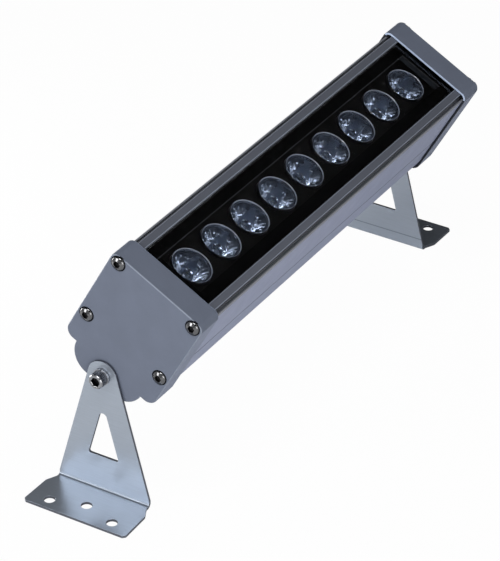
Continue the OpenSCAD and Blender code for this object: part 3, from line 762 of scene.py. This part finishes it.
def cut_across(shape, height):
    """Cuts all faces of a shape along the level plane at a height."""
    everything = shape.verts[:] + shape.edges[:] + shape.faces[:]
    bmesh.ops.bisect_plane(shape, geom=everything, dist=JOIN, plane_co=(0, 0, height),
                           plane_no=(0, 0, 1))


def bracket_coat(face, side):
    """The steel that belongs on a face."""
    height = face.calc_center_median().z
    normal = face.normal
    in_tool_line = TOOL_LINE[0] < height < TOOL_LINE[1] and normal.x * side < -0.9
    in_bend = abs(normal.x) > 0.2 and 0.35 < normal.z < 0.98
    was_cut = (abs(normal.y) > 0.3 or abs(normal.x) > 0.9 and height < SHEET
               or abs(normal.z) > 0.9 and height > SHEET)
    # painted reflection inside the bend, painted shade in the tool line
    if in_tool_line or in_bend:
        return painted_shade_and_reflection_steel
    return cut_steel if was_cut else bracket_steel


for end, side in ENDS:
    name = end + "_bracket_sheet"
    still = Matrix.Identity(4)
    shape = mesh_copy(end + "_bracket", still)
    for height in TOOL_LINE:
        cut_across(shape, height)
    coat_faces(shape, BRACKET_COATS, lambda face: bracket_coat(face, side))
    soften(shape, 0.08 * MM)
    finish_piece(mesh_of(shape, name), name, BRACKET_COATS, [end + "_bracket"],
                 end + "_stand", still)

# %% [markdown]
# ## Cap screws
# Each cap is held by four button heads with a hexagon socket. One screw is stacked from rings: the
# shank first, then the dome, and down again into the socket. The faces in the socket are marked
# with a number, so that a tree can give them a near-black finish as painted shade wherever the
# screw is set.

# %% One screw
HEAD_H = 2.4 * MM
SOCKET = 1.45 * MM
SHANK_R = 1.75 * MM
DOME = ((1.0, 0.20), (0.985, 0.38), (0.94, 0.53), (0.87, 0.663), (0.83, 0.698), (0.55, 0.940),
        (0.51, 0.975))


def button_head(shank_len):
    """A screw about +Z with the underside of its head at zero."""
    rings = [(SHANK_R * 0.6, -shank_len), (SHANK_R, -shank_len + SHANK_R * 0.5),
             (SHANK_R, -0.05 * MM), (SHANK_R, 0), (HEAD_R * 0.97, 0), (HEAD_R, HEAD_H * 0.05)]
    rings += [(HEAD_R * across, HEAD_H * up) for across, up in DOME]
    rings += [(hexagon(SOCKET * 1.18), HEAD_H), (hexagon(SOCKET * 1.06), HEAD_H * 0.90),
              (hexagon(SOCKET), HEAD_H * 0.40), (SOCKET * 0.6, HEAD_H * 0.32)]
    screw = stack_rings(rings, 48)
    # the faces in the socket, which get painted shade
    mark = screw.faces.layers.int.new("in_socket")
    for face in screw.faces:
        centre = face.calc_center_median()
        inside = math.hypot(centre.x, centre.y) < SOCKET * 1.2
        face[mark] = int(inside and 0 < centre.z < HEAD_H * 0.97)
    return screw


# %% [markdown]
# ### A tree for four corners
# Four screws could be placed by hand, but they sit on the corners of a rectangle, and that is a
# grid with two points each way. The prototype is set on those points. Instances are made real at
# the end, so that the result is a plain mesh.

# %% Tree that sets a prototype on the corners of a rectangle
corners, corners_in, corners_out = new_tree("set_on_corners", {
    "Across": "Float", "Up": "Float", "Centre": "Vector", "Turn": "Vector",
    "Finish": "Material", "Socket Shade Finish": "Material"})
grid = add_node(corners, "GeometryNodeMeshGrid", {"Vertices X": 2, "Vertices Y": 2})
stand = add_node(corners, "GeometryNodeTransform", {"Rotation": UP_AND_ALONG})
instance = add_node(corners, "GeometryNodeInstanceOnPoints")
turn = add_node(corners, "GeometryNodeTransform")
wire(corners, (corners_in, "Across", grid, "Size X"), (corners_in, "Up", grid, "Size Y"),
     (corners_in, "Geometry", instance, "Instance"),
     (corners_in, "Turn", turn, "Rotation"), (corners_in, "Centre", turn, "Translation"))
pipe(corners, grid, stand, instance, turn, add_node(corners, "GeometryNodeRealizeInstances"),
     set_finish(corners, corners_in, "Finish"),
     set_finish(corners, corners_in, "Socket Shade Finish", marked(corners, "in_socket")), corners_out)
print("set_on_corners has", len(corners.nodes), "nodes")

# %% [markdown]
# ### Eight screws
# The same tree serves both ends: the far set looks along +X, and the near set is turned half way
# round. The rectangle is measured on the CAD piece, less the radius of a head on each side.

# %% Eight cap screws
screw_seat = screw_high.x - HEAD_H
screw_middle = (screw_low.z + screw_high.z) / 2

for end, side in ENDS:
    name = end + "_cap_screw_set"
    screw = button_head(screw_seat - screw_low.x)
    move(screw, along_x)
    grown = grow(name, screw, corners, {
        "Across": screw_high.y - screw_low.y - 2 * HEAD_R,
        "Up": screw_high.z - screw_low.z - 2 * HEAD_R,
        "Centre": (side * screw_seat, 0, screw_middle),
        "Turn": (0, 0, 0 if side > 0 else math.pi),
        "Finish": screw_steel, "Socket Shade Finish": painted_shade_socket_steel})
    finish_piece(grown, name, [], [end + "_cap_screws"])

# %% [markdown]
# ## Lenses and their holders
# Nine clear cones stand in black cups. Both are grown along the light by a tree that needs only a
# count and a pitch, which the frame gives. The light that the inside of a cup's rim catches is
# painted: the tree gives marked faces a pale second finish as painted highlight.

# %% Tree that repeats a prototype along the light
row, row_in, row_out = new_tree("repeat_along_light", {
    "Count": "Int", "Pitch": "Float", "First": "Vector",
    "Finish": "Material", "Rim Highlight Finish": "Material"})
line = add_node(row, "GeometryNodeMeshLine", mode="OFFSET")
step = add_node(row, "ShaderNodeCombineXYZ")
instance = add_node(row, "GeometryNodeInstanceOnPoints")
wire(row, (row_in, "Count", line, "Count"), (row_in, "First", line, "Start Location"),
     (row_in, "Pitch", step, "X"), (step, "Vector", line, "Offset"),
     (row_in, "Geometry", instance, "Instance"))
pipe(row, line, instance, add_node(row, "GeometryNodeRealizeInstances"),
     set_finish(row, row_in, "Finish"),
     set_finish(row, row_in, "Rim Highlight Finish", marked(row, "on_rim")), row_out)

lens_nodes = sorted(n for n in frame["nodes"] if n.startswith("lens_") and n[5:].isdigit())
lens_centres = [(upright_box(n)[0] + upright_box(n)[1]) / 2 for n in lens_nodes]
lens_pitch = (lens_centres[-1].x - lens_centres[0].x) / (len(lens_nodes) - 1)
print(len(lens_nodes), "lenses, pitch", round(lens_pitch / MM, 2), "mm")

# %% [markdown]
# ### One lens and one cup
# A lens of this kind is a solid of clear plastic with a hollow foot over the emitter and a cone
# that turns the light forward. Its cone is cut into small facets, which break what it mirrors
# into sparks. Here every second ring is turned by half a step, so the facets are triangles in
# effect, and they are shaded flat. The cup is a thin ring with a ledge under the lens.

# %% Lens and holder prototypes
holder_low, holder_high = upright_box("lens_holder_1")
lens_low, lens_high = upright_box("lens_1")
HOLDER_R = (holder_high.x - holder_low.x) / 2
LENS_R = (lens_high.x - lens_low.x) / 2
WALL = 0.55 * MM
CHAMFER = 0.32 * MM
BLUNT = 0.15 * MM
base = holder_low.z
holder_top = holder_high.z - base
lens_top = lens_high.z - base
lens_bottom = lens_low.z - base
flange_bottom = holder_top * 0.85
ledge_bottom = holder_top * 0.78


def lens_shape():
    """A cone with a hollow foot for the emitter and a flat front, cut into small facets."""
    cup_r = LENS_R * 0.25
    cup_top = lens_bottom + (lens_top - lens_bottom) * 0.34
    foot_r = LENS_R * 0.36
    rows = 7
    rings = [(cup_r * 0.4, cup_top), (cup_r * 0.85, cup_top * 0.9), (cup_r, lens_bottom)]
    for t in (i / rows for i in range(rows + 1)):
        rings.append((foot_r + (LENS_R * 0.88 - foot_r) * t ** 0.66,
                      lens_bottom + (flange_bottom - lens_bottom) * t))
    rings += [(LENS_R, flange_bottom + 0.05 * MM), (LENS_R, lens_top - BLUNT),
              (LENS_R - BLUNT, lens_top), (LENS_R * 0.6, lens_top)]
    return stack_rings(rings, 28, 0.5)


def holder_shape():
    """A cup's rim and wall, with a ledge inside, and a mark on what gets a painted highlight."""
    bore = HOLDER_R - WALL
    under_ledge = HOLDER_R * 0.9
    holder = stack_open_rings([
        (bore - WALL, 0), (HOLDER_R, 0), (HOLDER_R, holder_top - BLUNT),
        (HOLDER_R - BLUNT, holder_top), (bore + CHAMFER, holder_top),
        (bore, holder_top - CHAMFER), (bore, holder_top - 0.9 * MM), (bore, flange_bottom),
        (under_ledge, flange_bottom), (under_ledge, ledge_bottom), (bore - WALL, ledge_bottom)], 64)
    # the faces inside the rim, which get painted highlight
    mark = holder.faces.layers.int.new("on_rim")
    for face in holder.faces:
        centre = face.calc_center_median()
        inside = math.hypot(centre.x, centre.y) < HOLDER_R - 0.2 * MM
        face[mark] = int(inside and 0.05 * MM < holder_top - centre.z < 0.8 * MM)
    return holder


# %% [markdown]
# ### Nine of each
# One call each grows the row. A low crease angle keeps the facets of the lenses flat.

# %% Rows of lenses and holders
holder_nodes = [n.replace("lens_", "lens_holder_") for n in lens_nodes]
in_row = {"Count": len(lens_nodes), "Pitch": lens_pitch, "First": (lens_centres[0].x, 0, base)}
lens_mesh = grow("lenses", lens_shape(), row,
                 {**in_row, "Finish": lens_clear, "Rim Highlight Finish": lens_clear})
finish_piece(lens_mesh, "lenses", [], lens_nodes, crease=4)
holder_mesh = grow("holders", holder_shape(), row,
                   {**in_row, "Finish": holder_black, "Rim Highlight Finish": painted_highlight_holder_rim})
finish_piece(holder_mesh, "lens_holders", [], holder_nodes)

# %% [markdown]
# ## Front glass
# The glass is printed black on its back, round a long clear window. The print is a thin frame set
# just inside the glass, so the black lies deep under a clear face, as it does on the real pane.
# A fine grey line along the far end and one long edge is a painted highlight where the print's
# edge catches light, and a grey band at the far end is a painted reflection.

# %% Glass and its print
soft_copy("front_glass", "glass_pane", front_clear, 0.3 * MM)
WINDOW_HALF = 13.2 * MM
WINDOW_END = 128.0 * MM
LINE_W = 0.6 * MM
BAND_W = 3.8 * MM
PRINT_T = 0.05 * MM
PRINT_COATS = [print_black, painted_highlight_print_line, painted_reflection_band]
LINE_RING, BAND_RING = 1, 2
FAR_END, FRONT_EDGE = 1, 2
SQUARE = ((-1, -1), (1, -1), (1, 1), (-1, 1))


def print_shape():
    """A frame round the window, with a painted highlight on two edges and a painted reflection at the far end."""
    outer = (glass_high.x - 0.5 * MM, glass_high.y - 0.5 * MM)
    line = (WINDOW_END + 2 * LINE_W, WINDOW_HALF + LINE_W)
    edge = (WINDOW_END, WINDOW_HALF)
    inner = (WINDOW_END - BAND_W, WINDOW_HALF - 0.02 * MM)
    low = glass_low.z + 0.05 * MM
    shape = bmesh.new()
    under, over = [[[shape.verts.new((sx * x, sy * y, height)) for sx, sy in SQUARE]
                    for x, y in (outer, line, edge, inner)] for height in (low, low + PRINT_T)]
    for i in range(4):
        j = (i + 1) % 4
        for k in range(3):
            top = shape.faces.new((over[k][i], over[k][j], over[k + 1][j], over[k + 1][i]))
            # the line on two edges: painted highlight; the band at the far end: painted reflection
            if k == LINE_RING and i in (FAR_END, FRONT_EDGE):
                top.material_index = PRINT_COATS.index(painted_highlight_print_line)
            elif k == BAND_RING and i == FAR_END:
                top.material_index = PRINT_COATS.index(painted_reflection_band)
            shape.faces.new((under[k][j], under[k][i], under[k + 1][i], under[k + 1][j]))
        shape.faces.new((under[0][i], under[0][j], over[0][j], over[0][i]))
        shape.faces.new((under[3][j], under[3][i], over[3][i], over[3][j]))
    return shape


finish_piece(mesh_of(print_shape(), "glass_print"), "glass_print", PRINT_COATS, [])

# %% [markdown]
# ## Pivot hardware
# The light tilts on two socket head bolts with a split washer under each. Their heads are knurled.
# A bump could fake the ribs, but they show at the outline, so the rings of the head follow a wave.
# The knurled band and the socket get darker steels as painted shade.

# %% Pivot bolts and washers
bolt_low, bolt_high = upright_box("far_pivot_bolt")
BOLT_R = 2.5 * MM
BOLT_HEAD_R = 4.25 * MM
BOLT_HEAD_H = 5.0 * MM
BOLT_SOCKET = 2.25 * MM
BOLT_COATS = [bolt_steel, painted_shade_socket_steel, painted_shade_knurl_steel]


def bolt_rings(length):
    """The rings of a bolt about +Z, its head's underside at zero, with heights in head heights."""
    side = knurl(BOLT_HEAD_R, 0.14 * MM, 36)
    head = ((BOLT_HEAD_R * 0.95, 0), (side, 0.06), (side, 0.86), (BOLT_HEAD_R * 0.955, 0.91),
            (BOLT_HEAD_R * 0.86, 1), (BOLT_HEAD_R * 0.62, 1),
            (hexagon(BOLT_SOCKET + 0.1 * MM), 0.97), (hexagon(BOLT_SOCKET), 0.93),
            (hexagon(BOLT_SOCKET), 0.46), (1.2 * MM, 0.40))
    shank = [(BOLT_R * 0.7, -length), (BOLT_R, -length + BOLT_R * 0.4), (BOLT_R, 0)]
    return shank + [(radius, BOLT_HEAD_H * up) for radius, up in head]


def bolt_coat(face):
    """The steel that belongs on a face of a bolt about +Z."""
    centre = face.calc_center_median()
    up = centre.z / BOLT_HEAD_H
    # the socket: painted shade
    if math.hypot(centre.x, centre.y) < BOLT_SOCKET + 0.25 * MM and 0.42 < up < 0.95:
        return painted_shade_socket_steel
    # the knurled band: painted shade
    return painted_shade_knurl_steel if 0.1 < up < 0.85 else bolt_steel


for end, side in ENDS:
    name = end + "_bolt"
    shape = stack_rings(bolt_rings(bolt_high.x - bolt_low.x - BOLT_HEAD_H), 144)
    coat_faces(shape, BOLT_COATS, bolt_coat)
    move(shape, along_x)
    if side < 0:
        move(shape, Matrix.Rotation(math.pi, 4, "Z"))
    move(shape, Matrix.Translation((side * (bolt_high.x - BOLT_HEAD_H), 0, 0)))
    finish_piece(mesh_of(shape, name), name, BOLT_COATS, [end + "_pivot_bolt"])
for end, side in ENDS:
    soft_copy(end + "_lock_washer", end + "_washer", washer_steel, 0.12 * MM)

# %% [markdown]
# ## Gland and the rest
# The gland's hexagons and collars are turned brass with nickel on it. They could be stacked from
# rings, but they hide behind the far cap, so their CAD shape with softer edges is enough.

# %% Gland
soft_copy("gland_body", "gland_collar", nickel, 0.2 * MM)
soft_copy("gland_nut", "gland_dome", nickel, 0.25 * MM)
soft_copy("gland_cable_seal", "gland_seal", rubber, 0.25 * MM)

# %% [markdown]
# ### Pieces with the right shape already
# Boards, seals, leads and the driver's parts lie inside, and their CAD shape is what they need.
# Only the finish in their material slot is changed, never their mesh.

# %% Finishes of the pieces that keep their CAD shape
kept = {"lens_plate": plate_black, "near_cap_gasket": rubber, "far_cap_gasket": rubber,
        "glass_gasket": rubber, "gland_face_seal": rubber, "gland_lock_nut": nickel,
        "emitter_board": board_white, "emitter_board_screws": screw_steel,
        "emitter_leads": lead_red, "driver_board": board_green, "driver_transformer": ferrite,
        "driver_capacitor": sleeve_blue, "driver_coil": copper_wire,
        "driver_input_terminal": terminal_green, "driver_output_terminal": terminal_green}
kept.update({n: phosphor for n in frame["nodes"] if n.startswith("emitter_") and n[8:].isdigit()})
for node, material in kept.items():
    for holder in frame["nodes"][node].material_slots:
        holder.material = material
print("kept CAD pieces:", len(kept))

# %% [markdown]
# ## Camera
# The camera stands where the photograph's camera stood: the azimuth, elevation, roll, distance and
# small offsets were solved from the lens centres, the screws and the brackets. Its focal length is
# a long one, because the far end of the light is hardly smaller than the near end.

# %% Camera
bpy.context.scene.view_settings.view_transform = "Standard"
AZIMUTH, ELEVATION, ROLL = math.radians(-59.667), math.radians(31.910), math.radians(0.829)
DISTANCE = 1.569752
OFFSET_RIGHT, OFFSET_UP = -0.002288, -0.018996
FOCAL_PX, LONG_SIDE_PX, SENSOR = 2914.312, 561, 36.0

back = Vector((math.sin(AZIMUTH) * math.cos(ELEVATION), -math.cos(AZIMUTH) * math.cos(ELEVATION),
               math.sin(ELEVATION)))
level_right = Vector((0, 0, 1)).cross(back).normalized()
level_up = back.cross(level_right)
right = level_right * math.cos(ROLL) + level_up * math.sin(ROLL)
up = level_up * math.cos(ROLL) - level_right * math.sin(ROLL)
pivot_point = Vector((0, 0, pivot_height))
camera_data = bpy.data.cameras.new("camera")
camera_data.sensor_width = SENSOR
camera_data.lens = FOCAL_PX / LONG_SIDE_PX * SENSOR
camera = add_object("camera", camera_data)
camera.location = pivot_point + back * DISTANCE + right * OFFSET_RIGHT + up * OFFSET_UP
camera.rotation_mode = "QUATERNION"
camera.rotation_quaternion = Matrix((right, up, back)).transposed().to_quaternion()
bpy.context.scene.camera = camera
print("camera at", [round(c, 4) for c in camera.location], "lens", round(camera_data.lens, 1), "mm")

# %% [markdown]
# ## Floor and background
# The light stands on a plain white floor. The camera sees the floor and the world as white, also
# through glass, and what falls on the object stays at a plain level. Metal mirrors that plain
# level, not the white, or it would look milky. The floor mixes in a little of its real shading, so
# that it keeps the shadow.

# %% White to the camera
def white_to_view(tree):
    """A node whose value is 1 for rays from the camera and through glass."""
    path = add_node(tree, "ShaderNodeLightPath")
    either = add_node(tree, "ShaderNodeMath", operation="MAXIMUM")
    wire(tree, (path, "Is Camera Ray", either, 0), (path, "Is Transmission Ray", either, 1))
    return either


def mix_by_view(tree, amount, plain, white, output):
    """Shows the white shader to the camera, by an amount, and the plain one to all else."""
    mix = add_node(tree, "ShaderNodeMixShader")
    wire(tree, (amount, "Value", mix, "Fac"), (plain, 0, mix, 1), (white, 0, mix, 2),
         (mix, "Shader", tree.nodes[output], "Surface"))


def flat_square(name, size, material):
    """A level square that isn't part of the object."""
    mesh = bpy.data.meshes.new(name)
    mesh.from_pydata([(x * size / 2, y * size / 2, 0) for x, y in SQUARE], [], [(0, 1, 2, 3)])
    mesh.materials.append(material)
    square = add_object(name, mesh)
    return square


# %% [markdown]
# ### Floor and world
# The floor lies a hair below the feet, so that the two surfaces don't flicker through each other.

# %% Floor and world
WHITE_SHARE = 0.972
WORLD_LEVEL = 0.42

floor_white, tree, shader = start_finish("floor_white", (0.86, 0.86, 0.86), 0.9)
glow = add_node(tree, "ShaderNodeEmission", {"Strength": 1.0})
share = add_node(tree, "ShaderNodeMath", {1: WHITE_SHARE}, operation="MULTIPLY")
wire(tree, (white_to_view(tree), "Value", share, 0))
mix_by_view(tree, share, shader, glow, "Material Output")
floor = flat_square("floor", size=12.0, material=floor_white)
floor.location.z = -0.05 * MM

world = bpy.data.worlds.new("studio")
bpy.context.scene.world = world
world.use_nodes = True
plain = world.node_tree.nodes["Background"]
set_values(plain, {"Strength": WORLD_LEVEL, "Color": (0.95, 0.97, 1.0, 1)})
white = add_node(world.node_tree, "ShaderNodeBackground", {"Strength": 1.0, "Color": (1, 1, 1, 1)})
mix_by_view(world.node_tree, white_to_view(world.node_tree), plain, white, "World Output")
print("world level", WORLD_LEVEL)

# %% [markdown]
# ### Lamps and dark cards
# One soft lamp stands in front and lights the long side, one hangs above, and one at the left
# faces the end cap and puts a glint on every screw head. A small one low behind the light
# brightens the floor that the far bracket mirrors. Photographers hang dark cards out of sight, to
# keep glass black and to give metal something dark to mirror. One card hangs where the glass and
# the feet mirror it, and one stands about the camera.

# %% Lamps and dark cards
middle = Vector((0, 0, 0.09))


def aim(thing, direction, distance):
    """Puts a thing out along a direction and turns it to face the middle of the object."""
    towards = Vector(direction).normalized()
    thing.location = middle + towards * distance
    thing.rotation_mode = "QUATERNION"
    thing.rotation_quaternion = towards.to_track_quat("Z", "Y")


def add_lamp(name, direction, distance, size, power):
    """A soft square lamp."""
    data = bpy.data.lights.new(name, "AREA")
    data.size = size
    data.energy = power
    aim(add_object(name, data), direction, distance)


def add_card(direction, distance, size):
    """A dark card that no camera sees, which gloss and glass mirror."""
    material = start_finish("card_black", (0.006, 0.006, 0.006), 0.9)[0]
    card = flat_square("dark_card", size, material)
    card.visible_camera = False
    aim(card, direction, distance)


add_lamp("front_lamp", (-1.0, -0.9, 0.0), distance=1.3, size=0.9, power=9.5)
add_lamp("top_lamp", (-0.45, -0.15, 0.9), distance=1.6, size=0.7, power=10)
add_lamp("glint_lamp", (-0.81, 0.43, 0.39), distance=1.6, size=0.55, power=6)
add_lamp("low_lamp", (-0.1, 1.0, -0.05), distance=0.4, size=0.2, power=1.2)
add_card((0.48, 0.29, 0.82), distance=1.5, size=3.3)
add_card((-0.73, -0.43, 0.53), distance=2.4, size=2.0)
print("lamps:", len(bpy.data.lights))
